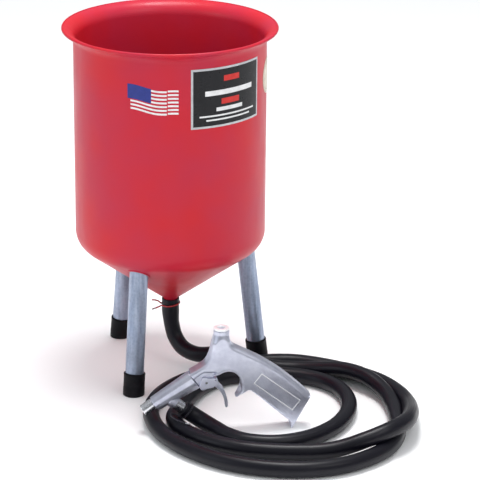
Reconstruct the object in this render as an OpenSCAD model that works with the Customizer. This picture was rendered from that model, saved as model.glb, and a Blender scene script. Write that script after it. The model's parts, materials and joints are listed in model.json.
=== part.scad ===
// Siphon-feed abrasive blaster: an open plastic hopper on three tube legs, a rubber media
// hose pushed over its spout, and a cast pistol-grip blast gun at the hose's far end.
// The floor is Z = 0. The origin lies under the middle of the hopper and gun together.

/* [Hopper] */
// Outside diameter of the hopper's straight wall
hopper_od = 305; // [290:1:320]
// Height of the top of the rim above the floor
hopper_top = 571; // [540:1:600]
// Thickness of the moulded wall
wall = 4; // [3:0.5:5]
// How far the rim flares out past the wall
rim_flare = 18; // [12:1:22]
// Slope of the cone below the horizontal
cone_slope = 36.2; // [34:0.2:38]
// Height of the cone's virtual point above the floor
cone_point = 106.6; // [104:0.2:110]
// Rounding between the wall and the cone
shoulder_r = 34; // [20:1:40]
// Outside diameter of the spout
spout_od = 16.4; // [15:0.2:18]
// Bore of the spout
spout_bore = 11; // [9:0.5:12]
// Height of the spout's lower end above the floor
spout_end = 73; // [70:1:80]

/* [Legs] */
// Outside diameter of the leg tube
leg_od = 29.5; // [27:0.5:31]
// Thickness of the leg tube
leg_wall = 1.6; // [1.2:0.1:2]
// Radius of the circle that the feet stand on
foot_circle_r = 144.5; // [140:0.5:150]
// Lean of each leg
leg_splay = 6.6; // [5:0.1:8]
// Turn of the tripod, with the right leg first
leg_turn = 7.5; // [0:0.5:15]
// Outside diameter of the rubber foot
foot_od = 34.6; // [33:0.2:37]
// Height of the rubber foot along the leg
foot_h = 36; // [30:1:45]

/* [Labels] */
// Width of the nameplate round the wall
nameplate_w = 133; // [110:1:140]
// Height of the nameplate
nameplate_h = 95; // [80:1:100]
// Width of the side decal round the wall
decal_w = 81; // [60:1:90]
// Height of the side decal
decal_h = 44; // [30:1:60]
// Diameter of the round label
round_label_d = 58; // [40:1:70]

/* [Hose] */
// Outside diameter of the media hose
hose_od = 25.4; // [24:0.1:26]
// Wire diameter of the spring clamps
clamp_wire = 2.4; // [1.8:0.1:3]

/* [Gun] */
// Tilt of the barrel below the horizontal
gun_tilt = 35; // [30:1:40]
// Turn of the gun's plane, muzzle towards the front
gun_turn = 8; // [0:1:12]
// Width of the grip and body casting
gun_w = 28; // [26:1:32]
// Length of the barrel casting
barrel_len = 73; // [65:1:80]
// Outside diameter of the nozzle
nozzle_od = 18.5; // [17:0.5:20]
// Length of the nozzle that stands out of the barrel
nozzle_reach = 20.5; // [15:0.5:25]
// Bore of the nozzle's hard liner
nozzle_bore = 6.4; // [4.8:0.2:7]
// Diameter of the ring round the air inlet
inlet_ring_d = 24.5; // [24:0.5:28]
// Bore drilled for the air inlet's pipe thread
inlet_bore = 11.2; // [11:0.1:11.6]
// Diameter of the trigger's pin
pin_d = 4; // [3:0.5:5]

/* [Hidden] */
$fn = 64;

// Hopper axis and gun pin in the row's frame
hopper_at = [-26.1, 59.2, 0];
gun_pin_at = [61, -266.5, 82.4];

hopper_r = hopper_od / 2;
rim_r = hopper_r + rim_flare;
cone_rise = tan(cone_slope);
leg_r = leg_od / 2;
foot_r = foot_od / 2;
hose_r = hose_od / 2;
wire_r = clamp_wire / 2;
leg_base = 4.5;
label_t = 0.6;
plastic = "crimson";
cast_metal = "silver";

function cone_z(r) = cone_point + cone_rise * r;
function arc(c, r, a0, a1, n) = [for (i = [0:n]) let (a = a0 + (a1 - a0) * i / n) c + r * [cos(a), sin(a)]];

module at_hopper() translate(hopper_at) children();

// Hopper
// The shoulder arc is tangent to the wall and to the cone.
shoulder_z = cone_z(hopper_r) + shoulder_r * (1 / cos(cone_slope) - cone_rise);
shoulder_c = [hopper_r - shoulder_r, shoulder_z];
flare_z = hopper_top - rim_flare - wall - 0.6;
lip_r = 2.6;
// The boss above the spout, which the hose butts on, runs into the cone by a fillet.
boss_r = 11.6;
boss_z = 113.4;
boss_fillet = 3;
boss_arc_z = cone_z(boss_r + boss_fillet) - boss_fillet / cos(cone_slope);

// Outside line of the wall, grown outwards by g, from the spout up to the lip
function outer_line(g) = concat(
    [[spout_od / 2, boss_z], [boss_r, boss_z]],
    arc([boss_r + boss_fillet, boss_arc_z], boss_fillet, 180, 90 + cone_slope, 5),
    arc(shoulder_c, shoulder_r + g, -90 + cone_slope, 0, 8),
    arc([hopper_r + rim_flare, flare_z], rim_flare - g, 180, 98, 8)
);
// Inside line of the wall, from the lip down to the spout's bore
function inner_line() = concat(
    arc([hopper_r + rim_flare, flare_z], rim_flare + wall, 98, 180, 8),
    arc(shoulder_c, shoulder_r - wall, 0, -90 + cone_slope, 8),
    [[spout_bore / 2, cone_z(spout_bore / 2) + wall / cos(cone_slope)]]
);

module leg_axis(k)
    rotate([0, 0, leg_turn + 120 * k])
        translate([foot_circle_r, 0, 0])
            rotate([0, -leg_splay, 0])
                children();

// The leg enters the cone at about this height, and ends this far above its mouth.
leg_mouth_z = 195;
leg_depth = 18;
leg_top_r = foot_circle_r - tan(leg_splay) * leg_mouth_z;
leg_top = cone_z(leg_top_r + leg_r) / cos(leg_splay) + leg_depth;
pocket_wall = 3;
collar = 2.2;

// The spout's bore runs from below its end to above the cone's inner point.
spout_drill = cone_point - spout_end + 30;

module hopper_shell() {
    rotate_extrude($fn = 96) polygon(concat(outer_line(0), inner_line()));
    translate([0, 0, hopper_top - lip_r])
        rotate_extrude($fn = 96)
            translate([rim_r - lip_r + 0.1, 0]) circle(r = lip_r, $fn = 24);
    translate([0, 0, spout_end])
        cylinder(d = spout_od, h = boss_z - spout_end + 2);
}

module hopper() color(plastic) at_hopper() difference() {
    union() {
        hopper_shell();
        // closed pockets that the legs push into, with a low collar outside
        for (k = [0:2])
            intersection() {
                leg_axis(k) cylinder(r = leg_r + pocket_wall, h = leg_top + pocket_wall);
                rotate_extrude($fn = 96)
                    polygon(concat(outer_line(collar), [[0, flare_z], [0, cone_point]]));
            }
    }
    for (k = [0:2]) leg_axis(k) cylinder(r = leg_r, h = leg_top);
    translate([0, 0, spout_end - 1]) cylinder(d = spout_bore, h = spout_drill);
}

// Legs and feet
module leg(k) color("lightsteelblue") at_hopper() leg_axis(k)
    translate([0, 0, leg_base]) difference() {
        cylinder(r = leg_r, h = leg_top - leg_base);
        translate([0, 0, -1]) cylinder(r = leg_r - leg_wall, h = leg_top + 2);
    }

module foot(k) color([0.1, 0.1, 0.1]) at_hopper() difference() {
    intersection() {
        leg_axis(k) translate([0, 0, -4]) cylinder(r = foot_r, h = foot_h + 4);
        cylinder(r = foot_circle_r * 2, h = foot_h * 2, $fn = 24);
    }
    leg_axis(k) translate([0, 0, leg_base]) cylinder(r = leg_r, h = foot_h);
}

// Labels
// A thin patch wrapped on the wall; turn is measured from the front towards the right
module wrapped(turn, w, z0, h) {
    sweep_deg = w / hopper_r * 180 / PI;
    rotate([0, 0, -90 + turn - sweep_deg / 2])
        rotate_extrude(angle = sweep_deg, $fn = 180)
            translate([hopper_r, z0]) square([label_t, h]);
}

nameplate_turn = 38.6;
nameplate_z = 446;
decal_turn = -9;
decal_z = 471;
round_label_turn = 84;
round_label_z = 497;
patch_w = round_label_d + 8;

module nameplate() color([0.1, 0.1, 0.11]) at_hopper()
    wrapped(nameplate_turn, nameplate_w, nameplate_z, nameplate_h);

module side_decal() color("royalblue") at_hopper() wrapped(decal_turn, decal_w, decal_z, decal_h);

module round_label() color("beige") at_hopper() intersection() {
    wrapped(round_label_turn, patch_w, round_label_z - patch_w / 2, patch_w);
    rotate([0, 0, round_label_turn - 90]) translate([0, 0, round_label_z]) rotate([0, 90, 0])
        cylinder(d = round_label_d, h = hopper_r + 5);
}

// Swept tubes
function unit(v) = v / norm(v);
function flat_from(v, t) = unit(v - (v * t) * t);
function tangents(p) = let (n = len(p)) [for (i = [0:n - 1]) unit(p[min(i + 1, n - 1)] - p[max(i - 1, 0)])];
function side_vectors(t, first) = [
    for (i = 0, s = flat_from(first, t[0]); i < len(t);
         i = i + 1, s = i < len(t) ? flat_from(s, t[i]) : s) s];

// A round tube of one polyhedron along path p, with flat ends
module swept(p, r, sides) {
    t = tangents(p);
    s = side_vectors(t, [0.1, 0.9, 0.2]);
    n = len(p);
    rings = [for (i = [0:n - 1]) for (k = [0:sides - 1])
        let (a = 360 * k / sides) p[i] + r * (cos(a) * s[i] + sin(a) * cross(t[i], s[i]))];
    skin = [for (i = [0:n - 2]) for (k = [0:sides - 1])
        let (m = (k + 1) % sides)
        [i * sides + m, i * sides + k, (i + 1) * sides + k, (i + 1) * sides + m]];
    first_end = [for (k = [0:sides - 1]) k];
    last_end = [for (k = [0:sides - 1]) n * sides - 1 - k];
    polyhedron(rings, concat(skin, [first_end, last_end]), convexity = 10);
}

// Media hose
// Middle line of the hose, from the spout to the gun, about the hopper's axis
hose_route = [
    [0, 0, 113.2], [0, 0, 88], [2, -2, 68], [8, -8, 48], [21, -21, 34], [42, -36, 29.5], [66, -46, 33],
    [92, -52, 38], [124, -56, 30], [160, -54, 16], [200, -55, 13], [240, -65, 17], [280, -84, 24],
    [315, -115, 25], [341, -152, 18], [353, -196, 13], [357, -240, 12.8], [358, -284, 12.8],
    [352, -326, 12.8], [337, -362, 12.8], [310, -394, 12.8], [272, -422, 12.8], [226, -438, 12.8],
    [176, -440, 12.8], [122, -428, 12.8], [70, -400, 12.8], [22, -354, 12.8], [-10, -300, 12.8],
    [-24, -240, 12.8], [-18, -184, 12.8], [4, -136, 12.8], [42, -92, 12.8], [92, -54, 12.8],
    [144, -30, 12.8], [196, -25, 12.8], [242, -38, 12.8], [290, -64, 12.8], [337, -103, 12.8],
    [365, -149, 13], [377, -192, 15], [379, -236, 23], [376, -280, 32], [366, -320, 38],
    [342, -352, 39], [304, -370, 30], [262, -377, 18], [222, -378, 12.8], [174, -378, 12.8],
    [124, -370, 12.8], [80, -350, 12.8], [44, -322, 12.8], [20, -288, 12.8], [12, -252, 12.8],
    [22, -212, 12.8], [34, -176, 12.8], [50, -140, 12.8], [74, -106, 12.8], [108, -86, 12.8],
    [152, -80, 12.8], [200, -84, 12.8], [242, -102, 12.8], [272, -136, 12.8], [285, -184, 12.8],
    [280, -236, 12.8], [258, -286, 12.8], [220, -326, 12.8], [172, -346, 12.8], [126, -341, 12.8],
    [94, -318, 12.8], [76, -294, 12.8], [58, -276, 16.5], [41, -269.5, 25], [26.9, -271.3, 36]
];

module media_hose() color([0.12, 0.12, 0.13]) at_hopper() swept(hose_route, hose_r, 12);

// Spring clamps
clamp_ring_r = hose_r + wire_r;

module wire_ring() rotate_extrude() translate([clamp_ring_r, 0]) circle(r = wire_r, $fn = 16);

module spout_clamp() color("firebrick") at_hopper() {
    translate([0, 0, 104]) rotate([0, -7, 0]) wire_ring();
    swept([[-13, -5, 103], [-17, -4, 105], [-21, -4, 108.5], [-30, -4, 111]], wire_r, 8);
    swept([[-13, -5, 103], [-17, -6, 101], [-22, -6, 98.5], [-29, -6, 95.5]], wire_r, 8);
}

// Gun
// Gun frame: the trigger's pin is the origin, +X runs to the muzzle, +Z away from the trigger.
module at_gun() at_hopper() translate(gun_pin_at) rotate([0, gun_tilt, 180 + gun_turn]) children();
// Valve frame: +Z runs up the neck from the foot of the valve stem
stem_foot = [-36.2, 0, 9.2];
module at_valve() at_gun() translate(stem_foot) rotate([0, -gun_tilt, 0]) children();
// Spigot frame: +Z runs out of the barrel's underside into the hose
spigot_at = [58.6, 0, -4.2];
spigot_lean = 14.5;
module at_spigot() at_gun() translate(spigot_at) rotate([0, 180 + spigot_lean, 0]) children();

joint_x = 12.8;
muzzle_x = joint_x + barrel_len;
bore_z = 16.8;
body_half = gun_w / 2;
lug_half = 11;
slot_half = 3.2;
guide_z0 = 8;
guide_z1 = 20;
seat_z0 = 23;
seat_z1 = 26;
head_z1 = 30;
shank_z0 = 41;
ring_z0 = 53.5;
ring_z1 = 57;
chamber_r = 8;
stem_r = 2;
guide_r = 4;
head_r = 5.5;
jet_r = 4;
neck_r = 12.2;
grip_wall = 4;
// The barrel and the nozzle slide on plugs of this radius.
tenon_r = 7;
liner_r = 5.5;
spigot_r = 9.25;
spigot_shank_r = 6;
spigot_bore_r = 5;

body_outline = concat(
    [[12.8, 26.5], [-3, 25], [-18, 26], [-31, 32.6], [-38.4, 39.3], [-53, 54]],
    [[-72, 41], [-68, 33], [-65.5, 24], [-80.4, -4.5], [-95.2, -38], [-106.8, -76], [-115.4, -116.7]],
    [[-62.2, -143.8], [-64.6, -139.5], [-66.2, -139], [-56.7, -94.6], [-46.5, -53]],
    arc([-41, -58], 8, 130, 75, 3),
    [[-21.1, -50.2], [-21.5, -48.2]],
    arc([-24.3, -22.5], 20.4, 272, 90, 12),
    [[-18, 0.2], [-8, -2.5]],
    arc([0, 0], 5.3, 210, 330, 6),
    [[8, -2.5], [12.8, -3.5]]
);
grip_channel = [
    [-52, -58], [-84, -48], [-91, -62], [-99, -92], [-107.5, -118], [-66.5, -137.4], [-63.8, -128], [-50, -66]
];
lever_slot = [
    [9, -12], [9, 9], [-4, 11], [-28, 18.4], [-36.5, 18.4], [-40.7, 15.6], [-43, 13.8],
    [-43, 4], [-40, 2.8], [-15, 2.2], [-15, -12]
];
// Plate with its outline in the gun's XZ plane
module plate(points, half) rotate([90, 0, 0]) linear_extrude(2 * half, center = true) polygon(points);
module along_x(x0, x1, r, z = bore_z) translate([x0, 0, z]) rotate([0, 90, 0]) cylinder(r = r, h = x1 - x0);
module across(x, z, r, half) translate([x, half, z]) rotate([90, 0, 0]) cylinder(r = r, h = 2 * half);

module raised_frame() translate([-77.8, 0, -79.5]) rotate([0, 16.8, 0]) difference() {
    cube([20.6, gun_w + 1.2, 77.5], center = true);
    cube([18, gun_w + 2, 74.9], center = true);
    cube([30, gun_w - 1, 90], center = true);
}

module gun_body() color(cast_metal) difference() {
    union() {
        at_gun() plate(body_outline, body_half);
        at_valve() translate([0, 0, 14]) cylinder(r = neck_r, h = ring_z0 - 14);
        at_gun() along_x(joint_x - 4, joint_x + 12, tenon_r);
        at_gun() raised_frame();
    }
    at_gun() plate(grip_channel, body_half - grip_wall);
    at_gun() plate(lever_slot, slot_half);
    // the guard's lower end narrows to its tip
    at_gun() for (side = [0, 1]) mirror([0, side, 0]) translate([0, 0, -62]) linear_extrude(26)
        polygon([[-38, body_half + 1], [-38, body_half], [-18, 4], [-18, body_half + 1]]);
    // side recesses for the trigger's cheeks
    at_gun() for (side = [-1, 1]) translate([0, side * (lug_half + 10), 0])
        plate([[21, -16], [21, 14], [9, 18], [-6, 18], [-22, 5], [-22, -16]], 10);
    at_valve() translate([0, 0, -5]) cylinder(r = 4.7, h = guide_z0 + 5);
    at_valve() cylinder(r = guide_r, h = seat_z0);
    at_valve() translate([0, 0, guide_z1]) cylinder(r = 6, h = 5);
    at_valve() translate([0, 0, seat_z0]) cylinder(r = chamber_r, h = 40);
    // air way from the valve's chamber to the jet
    at_gun() translate([-48.5, 0, 26.8]) rotate([0, 99.1, 0]) cylinder(r = 2.2, h = 64);
    at_gun() along_x(joint_x + 1, joint_x + 13, jet_r);
    at_gun() across(0, 0, pin_d / 2, gun_w);
}

barrel_half = 13;
barrel_side = [[joint_x, -3.6], [muzzle_x, 4.4], [muzzle_x, 26.5], [joint_x, 26.5]];
barrel_top = [
    [joint_x, -barrel_half], [muzzle_x, 2 - barrel_half],
    [muzzle_x, barrel_half - 2], [joint_x, barrel_half]
];
// Section across the barrel, as [height, side]
barrel_section = [
    [-3.6, -6], [-3.6, 6], [4, 11.5], [11, 13], [19, 12.5], [24, 10], [26.5, 5],
    [26.5, -5], [24, -10], [19, -12.5], [11, -13], [4, -11.5]
];
module gun_barrel() color(cast_metal) at_gun() difference() {
    intersection() {
        plate(barrel_side, barrel_half + 1);
        translate([0, 0, -5]) linear_extrude(40) polygon(barrel_top);
        translate([joint_x, 0, 0]) rotate([0, 90, 0]) mirror([1, 0, 0])
            linear_extrude(barrel_len) polygon(barrel_section);
    }
    along_x(joint_x - 1, muzzle_x + 1, tenon_r);
    translate(spigot_at) rotate([0, 180 + spigot_lean, 0]) {
        translate([0, 0, -13]) cylinder(r = spigot_shank_r, h = 20);
        translate([0, 0, -20]) cylinder(r = spigot_bore_r, h = 10);
        translate([0, 0, -7]) cylinder(r = spigot_r, h = 21);
    }
}

module air_jet() color("goldenrod") at_gun() difference() {
    along_x(joint_x + 2, 52, jet_r);
    along_x(joint_x, 55, 1.6);
}

nozzle_shank = 9;
module nozzle() color("gainsboro") at_gun() difference() {
    union() {
        along_x(muzzle_x - nozzle_shank, muzzle_x + 2, tenon_r);
        along_x(muzzle_x, muzzle_x + nozzle_reach - 1.5, nozzle_od / 2);
        along_x(muzzle_x + nozzle_reach - 1.6, muzzle_x + nozzle_reach, nozzle_od / 2 - 1);
    }
    along_x(muzzle_x - nozzle_shank - 1, muzzle_x + nozzle_reach + 1, liner_r);
}

module nozzle_liner() color("dimgray") at_gun() difference() {
    along_x(muzzle_x - nozzle_shank, muzzle_x + nozzle_reach - 2, liner_r);
    along_x(muzzle_x - nozzle_shank - 1, muzzle_x + nozzle_reach, nozzle_bore / 2);
}

module media_spigot() color("gainsboro") at_spigot() difference() {
    union() {
        translate([0, 0, -13]) cylinder(r = spigot_shank_r, h = 14);
        translate([0, 0, -7]) cylinder(r = spigot_r, h = 21.6);
        cylinder(r = 8, h = 38);
        for (z = [20, 27, 34]) translate([0, 0, z]) cylinder(r1 = 8.7, r2 = 8, h = 4);
    }
    translate([0, 0, -14]) cylinder(r = spigot_bore_r, h = 60);
}

// Wire clamp at the gun: its long tang curves down on to the hose's turns
gun_tang = [
    [28.5, -280.7, 23.5], [24, -283.6, 26.5], [17, -285.4, 31], [11, -286.6, 33.6], [8.4, -289, 33.2],
    [9.4, -292, 31], [14, -296.5, 29], [21, -302, 28], [30, -308, 27.7], [38, -313, 27.6]
];
module gun_clamp() color("dimgray") {
    at_spigot() translate([0, 0, 22]) wire_ring();
    at_hopper() swept(gun_tang, wire_r, 8);
}

module air_inlet() color("gainsboro") at_valve() difference() {
    union() {
        translate([0, 0, shank_z0]) cylinder(r = chamber_r, h = ring_z0 - shank_z0);
        translate([0, 0, ring_z0]) cylinder(d = inlet_ring_d, h = ring_z1 - ring_z0);
    }
    translate([0, 0, shank_z0 + 2]) cylinder(d = inlet_bore, h = 20);
    translate([0, 0, shank_z0 - 1]) cylinder(r = 3.5, h = 5);
}

module valve_guide() color("goldenrod") at_valve() difference() {
    translate([0, 0, guide_z0]) cylinder(r = guide_r, h = guide_z1 - guide_z0);
    cylinder(r = stem_r + 0.05, h = 40);
}

module valve_seat() color("ivory") at_valve() difference() {
    translate([0, 0, seat_z0]) cylinder(r = chamber_r, h = seat_z1 - seat_z0);
    translate([0, 0, seat_z0 - 1]) cylinder(r = 3.6, h = 6);
}

module valve_stem() color("goldenrod") at_valve() {
    cylinder(r = 4, h = 2.4);
    cylinder(r = stem_r, h = head_z1);
    translate([0, 0, seat_z1 + 1.8]) cylinder(r = head_r, h = head_z1 - seat_z1 - 1.8);
    translate([0, 0, head_z1]) cylinder(r = 2.4, h = 3);
}

module stem_seal() color([0.1, 0.1, 0.1]) at_valve() difference() {
    translate([0, 0, seat_z1 + 0.3]) cylinder(r = head_r, h = 1.5);
    translate([0, 0, seat_z1 - 1]) cylinder(r = stem_r, h = 4);
}

spring_wire = 0.6;
module valve_spring() color("lightgray") at_valve() {
    coils = 4;
    pitch = (shank_z0 - head_z1 - 2 * spring_wire) / coils;
    for (i = [0:coils])
        translate([0, 0, head_z1 + spring_wire + i * pitch])
            rotate_extrude($fn = 32) translate([4.2, 0]) circle(r = spring_wire, $fn = 16);
    for (side = [0, 180]) rotate([0, 0, side]) translate([4.2, 0, head_z1 + 0.3])
        cylinder(r = 0.45, h = shank_z0 - head_z1 - 0.6);
}

// Trigger
lever_end = [-34.3, 6.5];
web_half = lug_half + 3.8;
blade = [
    [-3, -10], [-5, -14], [-7.4, -26], [-6.7, -35], [-4, -44.8], [-0.5, -51.5], [1, -54.5], [0, -56],
    [-1.7, -56], [-3.5, -55], [-7.8, -47.8], [-12, -36.7], [-13.8, -26.3], [-13, -18], [-15, -9]
];
cheek = [
    [13.7, -4.7], [12.6, 1.5], [7.5, 5.8], [0.8, 10.6], [-2.5, 9.5], [-7.3, 3.7], [-17.2, -4],
    [-16.5, -7], [-13.7, -10.6], [-4.5, -12.9], [3.8, -9], [11.3, -7.4]
];
web = [[10.5, -7.8], [7.5, -6.4], [-13, -6.4], [-15.5, -7.6], [-13.7, -10.2], [-4.5, -11], [3.8, -8.8]];

module trigger() color(cast_metal) at_gun() difference() {
    union() {
        // middle plate: hub, blade root and the arm that lifts the valve stem
        plate([[7, -9], [7, 3], [3, 6.5], [-4, 6.6], [-34.3, 9.4], [-34.3, 3.6], [-13.8, 3.3],
               [-11.5, -1], [-12, -10]], 2.5);
        across(lever_end[0], lever_end[1], 2.9, 2.5);
        difference() {
            plate(web, web_half);
            across(0, 0, 5.9, lug_half + 0.3);
        }
        plate(blade, 7);
        for (side = [-1, 1]) translate([0, side * (web_half - 1.75), 0]) plate(cheek, 1.75);
    }
    across(0, 0, pin_d / 2 + 0.06, 20);
    across(-13.4, -4.8, 1.1, 20);
}

module trigger_pin() color("gainsboro") at_gun() across(0, 0, pin_d / 2, web_half);

hopper();
leg(0);  // leg_right
leg(1);  // leg_rear
leg(2);  // leg_front
foot(0);  // foot_right
foot(1);  // foot_rear
foot(2);  // foot_front
nameplate();
side_decal();
round_label();
spout_clamp();
media_hose();
gun_clamp();
gun_body();
gun_barrel();
air_jet();
nozzle();
nozzle_liner();
media_spigot();
air_inlet();
valve_guide();
valve_seat();
valve_stem();
stem_seal();
valve_spring();
trigger();
trigger_pin();
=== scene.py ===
import json
import math
import bpy
import bmesh
from mathutils import Matrix, Vector


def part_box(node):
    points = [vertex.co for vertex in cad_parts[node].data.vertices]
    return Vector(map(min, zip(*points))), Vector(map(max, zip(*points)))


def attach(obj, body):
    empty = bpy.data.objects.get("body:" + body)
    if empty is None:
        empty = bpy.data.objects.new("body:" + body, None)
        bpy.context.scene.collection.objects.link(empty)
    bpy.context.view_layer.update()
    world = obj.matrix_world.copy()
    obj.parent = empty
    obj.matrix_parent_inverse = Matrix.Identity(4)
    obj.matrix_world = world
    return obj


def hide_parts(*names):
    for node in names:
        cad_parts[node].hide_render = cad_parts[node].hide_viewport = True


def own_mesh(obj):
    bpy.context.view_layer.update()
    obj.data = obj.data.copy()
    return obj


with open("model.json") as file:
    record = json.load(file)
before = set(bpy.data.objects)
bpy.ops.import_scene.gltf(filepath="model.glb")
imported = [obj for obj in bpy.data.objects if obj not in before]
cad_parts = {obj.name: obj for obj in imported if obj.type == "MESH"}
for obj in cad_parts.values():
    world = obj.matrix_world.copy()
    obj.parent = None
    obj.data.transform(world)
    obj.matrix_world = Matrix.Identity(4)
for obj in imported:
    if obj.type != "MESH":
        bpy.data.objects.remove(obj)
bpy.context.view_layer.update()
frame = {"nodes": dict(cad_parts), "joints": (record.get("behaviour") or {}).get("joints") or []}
nodes = frame["nodes"]
mm = 0.001

# places that the pieces are made in, read from the frame
hopperLow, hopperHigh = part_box("hopper")
hopperAxis = Vector(((hopperLow.x + hopperHigh.x) / 2, (hopperLow.y + hopperHigh.y) / 2, 0))
hopperPlace = Matrix.Translation(hopperAxis)
triggerJoint = [j for j in frame["joints"] if j["name"] == "trigger_pull"][0]
gunPin = Vector(triggerJoint["pos_m"])
gunTurn = math.atan2(-triggerJoint["axis"][0], triggerJoint["axis"][1])
gunTilt = math.radians(35)
gunPlace = Matrix.Translation(gunPin) @ Matrix.Rotation(gunTurn, 4, "Z") @ Matrix.Rotation(gunTilt, 4, "Y")


viewer = {
    "place": Vector((0.1123, -3.8614, 1.6095)),  # from the hopper's axis at the floor
    "pitch": 70.13,
    "roll": 0.45,
    "lens": 190.6,
}
softLights = {  # place, aimed at, size, power, colour
    "softboxRight": ((1.5, -1.7, 2.3), (0.0, 0.0, 0.25), 1.5, 10, (1.0, 0.98, 0.96)),
    "softboxLeft": ((-2.1, -1.2, 1.1), (0.0, 0.0, 0.3), 1.2, 6, (0.86, 0.92, 1.0)),
    "softboxAbove": ((0.1, 0.2, 2.7), (0.0, 0.0, 0.3), 0.9, 45, (1.0, 1.0, 1.0)),
}


studio = {
    "sky": 0.95,  # what the open sky adds to dull surfaces
    "horizonInReflections": 0.16,
    "skyInReflections": 0.5,
    "backdrop": 1.08,
}


def makeViewer():
    data = bpy.data.cameras.new("viewer")
    data.lens = viewer["lens"]
    data.sensor_width = 36
    data.clip_end = 50
    camera = bpy.data.objects.new("viewer", data)
    bpy.context.scene.collection.objects.link(camera)
    aim = spun(viewer["pitch"], "X") @ spun(viewer["roll"], "Z")
    camera.matrix_world = Matrix.Translation(hopperAxis + viewer["place"]) @ aim
    bpy.context.scene.camera = camera


def makeStudio():
    world = bpy.data.worlds.new("studio")
    bpy.context.scene.world = world
    world.use_nodes = True
    sky = world.node_tree.nodes["Background"]
    sky.inputs["Color"].default_value = (0.95, 0.97, 1.0, 1)
    rays = addNode(world, "ShaderNodeLightPath")
    direction = addNode(world, "ShaderNodeTexCoord")
    height = addNode(world, "ShaderNodeSeparateXYZ", {"Vector": direction.outputs["Generated"]})
    mirrored = spread(world, height.outputs["Z"], -0.1, 0.9, studio["horizonInReflections"],
                      studio["skyInReflections"])
    lit = blended(world, rays.outputs["Is Glossy Ray"], studio["sky"], mirrored)
    seen = blended(world, rays.outputs["Is Camera Ray"], lit, studio["backdrop"])
    world.node_tree.links.new(seen, sky.inputs["Strength"])
    bpy.context.scene.view_settings.view_transform = "Standard"
    for name, (place, target, size, power, colour) in softLights.items():
        data = bpy.data.lights.new(name, "AREA")
        data.shape = "DISK"
        data.size = size
        data.energy = power
        data.color = colour
        lamp = bpy.data.objects.new(name, data)
        bpy.context.scene.collection.objects.link(lamp)
        lamp.location = place
        lamp.rotation_mode = "QUATERNION"
        lamp.rotation_quaternion = (Vector(target) - Vector(place)).to_track_quat("-Z", "Y")
    bpy.ops.mesh.primitive_circle_add(vertices=96, radius=9, fill_type="NGON", location=(0, 0, -0.0004))
    floor = bpy.context.object
    floor.name = "studioFloor"
    floor.data.materials.append(studioWhite())


def spun(degrees, axis):
    return Matrix.Rotation(math.radians(degrees), 4, axis)


def shifted(x, y, z):
    return Matrix.Translation((x * mm, y * mm, z * mm))


def deselectAll():
    if bpy.context.object and bpy.context.object.mode != "OBJECT":
        bpy.ops.object.mode_set(mode="OBJECT")
    bpy.ops.object.select_all(action="DESELECT")


def pick(*pieces):
    deselectAll()
    for piece in pieces:
        piece.select_set(True)
    bpy.context.view_layer.objects.active = pieces[0]


def startEdit():
    bpy.ops.object.mode_set(mode="EDIT")
    bpy.ops.mesh.select_all(action="SELECT")


def endEdit():
    # back to the object, with every face turned outward
    bpy.ops.mesh.select_all(action="SELECT")
    bpy.ops.mesh.normals_make_consistent(inside=False)
    bpy.ops.object.mode_set(mode="OBJECT")


def settle(piece, place=Matrix.Identity(4)):
    # placed in its mesh, with the object left at the origin
    bpy.context.view_layer.update()
    piece.data.transform(place @ piece.matrix_world)
    piece.matrix_world = Matrix.Identity(4)
    return piece


def finish(piece, material, body, slot, *replaced):
    if len(piece.data.materials) == 0:
        piece.data.materials.append(material)
    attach(piece, body)
    if replaced:
        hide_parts(*replaced)
    return piece


def smooth(piece, angle=35):
    pick(piece)
    bpy.ops.object.shade_smooth_by_angle(angle=math.radians(angle))


def applied(piece, kind, **settings):
    pick(piece)
    modifier = piece.modifiers.new(kind.lower(), kind)
    for name, value in settings.items():
        setattr(modifier, name, value)
    bpy.ops.object.modifier_apply(modifier=modifier.name)
    return piece


def eased(piece, width, segments=2, angle=35):
    return applied(piece, "BEVEL", width=width * mm, segments=segments,
                   limit_method="ANGLE", angle_limit=math.radians(angle))


def merged(piece, tool, how):
    applied(piece, "BOOLEAN", operation=how, object=tool, solver="EXACT")
    bpy.data.objects.remove(tool)
    return piece


def remeshed(piece, voxel):
    return applied(piece, "REMESH", mode="VOXEL", voxel_size=voxel * mm, adaptivity=0)


def castOver(piece, voxel, passes):
    # one skin with the soft edges of a casting
    remeshed(piece, voxel)
    return applied(piece, "SMOOTH", factor=0.5, iterations=passes)


def turned(name, profile, sides=64, hollow=False):
    # a ring drawn out from point to point of a profile of (radius, height)
    deselectAll()
    radius, height = profile[0]
    bpy.ops.mesh.primitive_circle_add(vertices=sides, radius=radius * mm, location=(0, 0, height * mm),
                                      fill_type="NOTHING" if hollow else "NGON")
    piece = settle(bpy.context.object)
    piece.name = name
    startEdit()
    for nextRadius, nextHeight in profile[1:]:
        rise = (0, 0, (nextHeight - height) * mm)
        bpy.ops.mesh.extrude_region_move(TRANSFORM_OT_translate={"value": rise})
        scale = nextRadius / radius
        bpy.ops.transform.resize(value=(scale, scale, 1), center_override=(0, 0, nextHeight * mm))
        radius, height = nextRadius, nextHeight
    bpy.ops.mesh.select_all(action="SELECT")
    bpy.ops.mesh.remove_doubles(threshold=0.00002)
    endEdit()
    return piece


def flatBlank(name, corners):
    # one face with its corners in millimetres, left open for editing
    deselectAll()
    bpy.ops.mesh.primitive_circle_add(vertices=len(corners), radius=1, fill_type="NGON")
    piece = bpy.context.object
    piece.name = name
    for vertex, corner in zip(piece.data.vertices, corners):
        vertex.co = [c * mm for c in corner]
    startEdit()
    return piece


def plated(name, outline, half, middle=0):
    # a flat blank cut to an outline in the gun's own plane and drawn out across it
    piece = flatBlank(name, [(x, middle + half, z) for x, z in outline])
    bpy.ops.mesh.extrude_region_move(TRANSFORM_OT_translate={"value": (0, -2 * half * mm, 0)})
    endEdit()
    return piece


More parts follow.
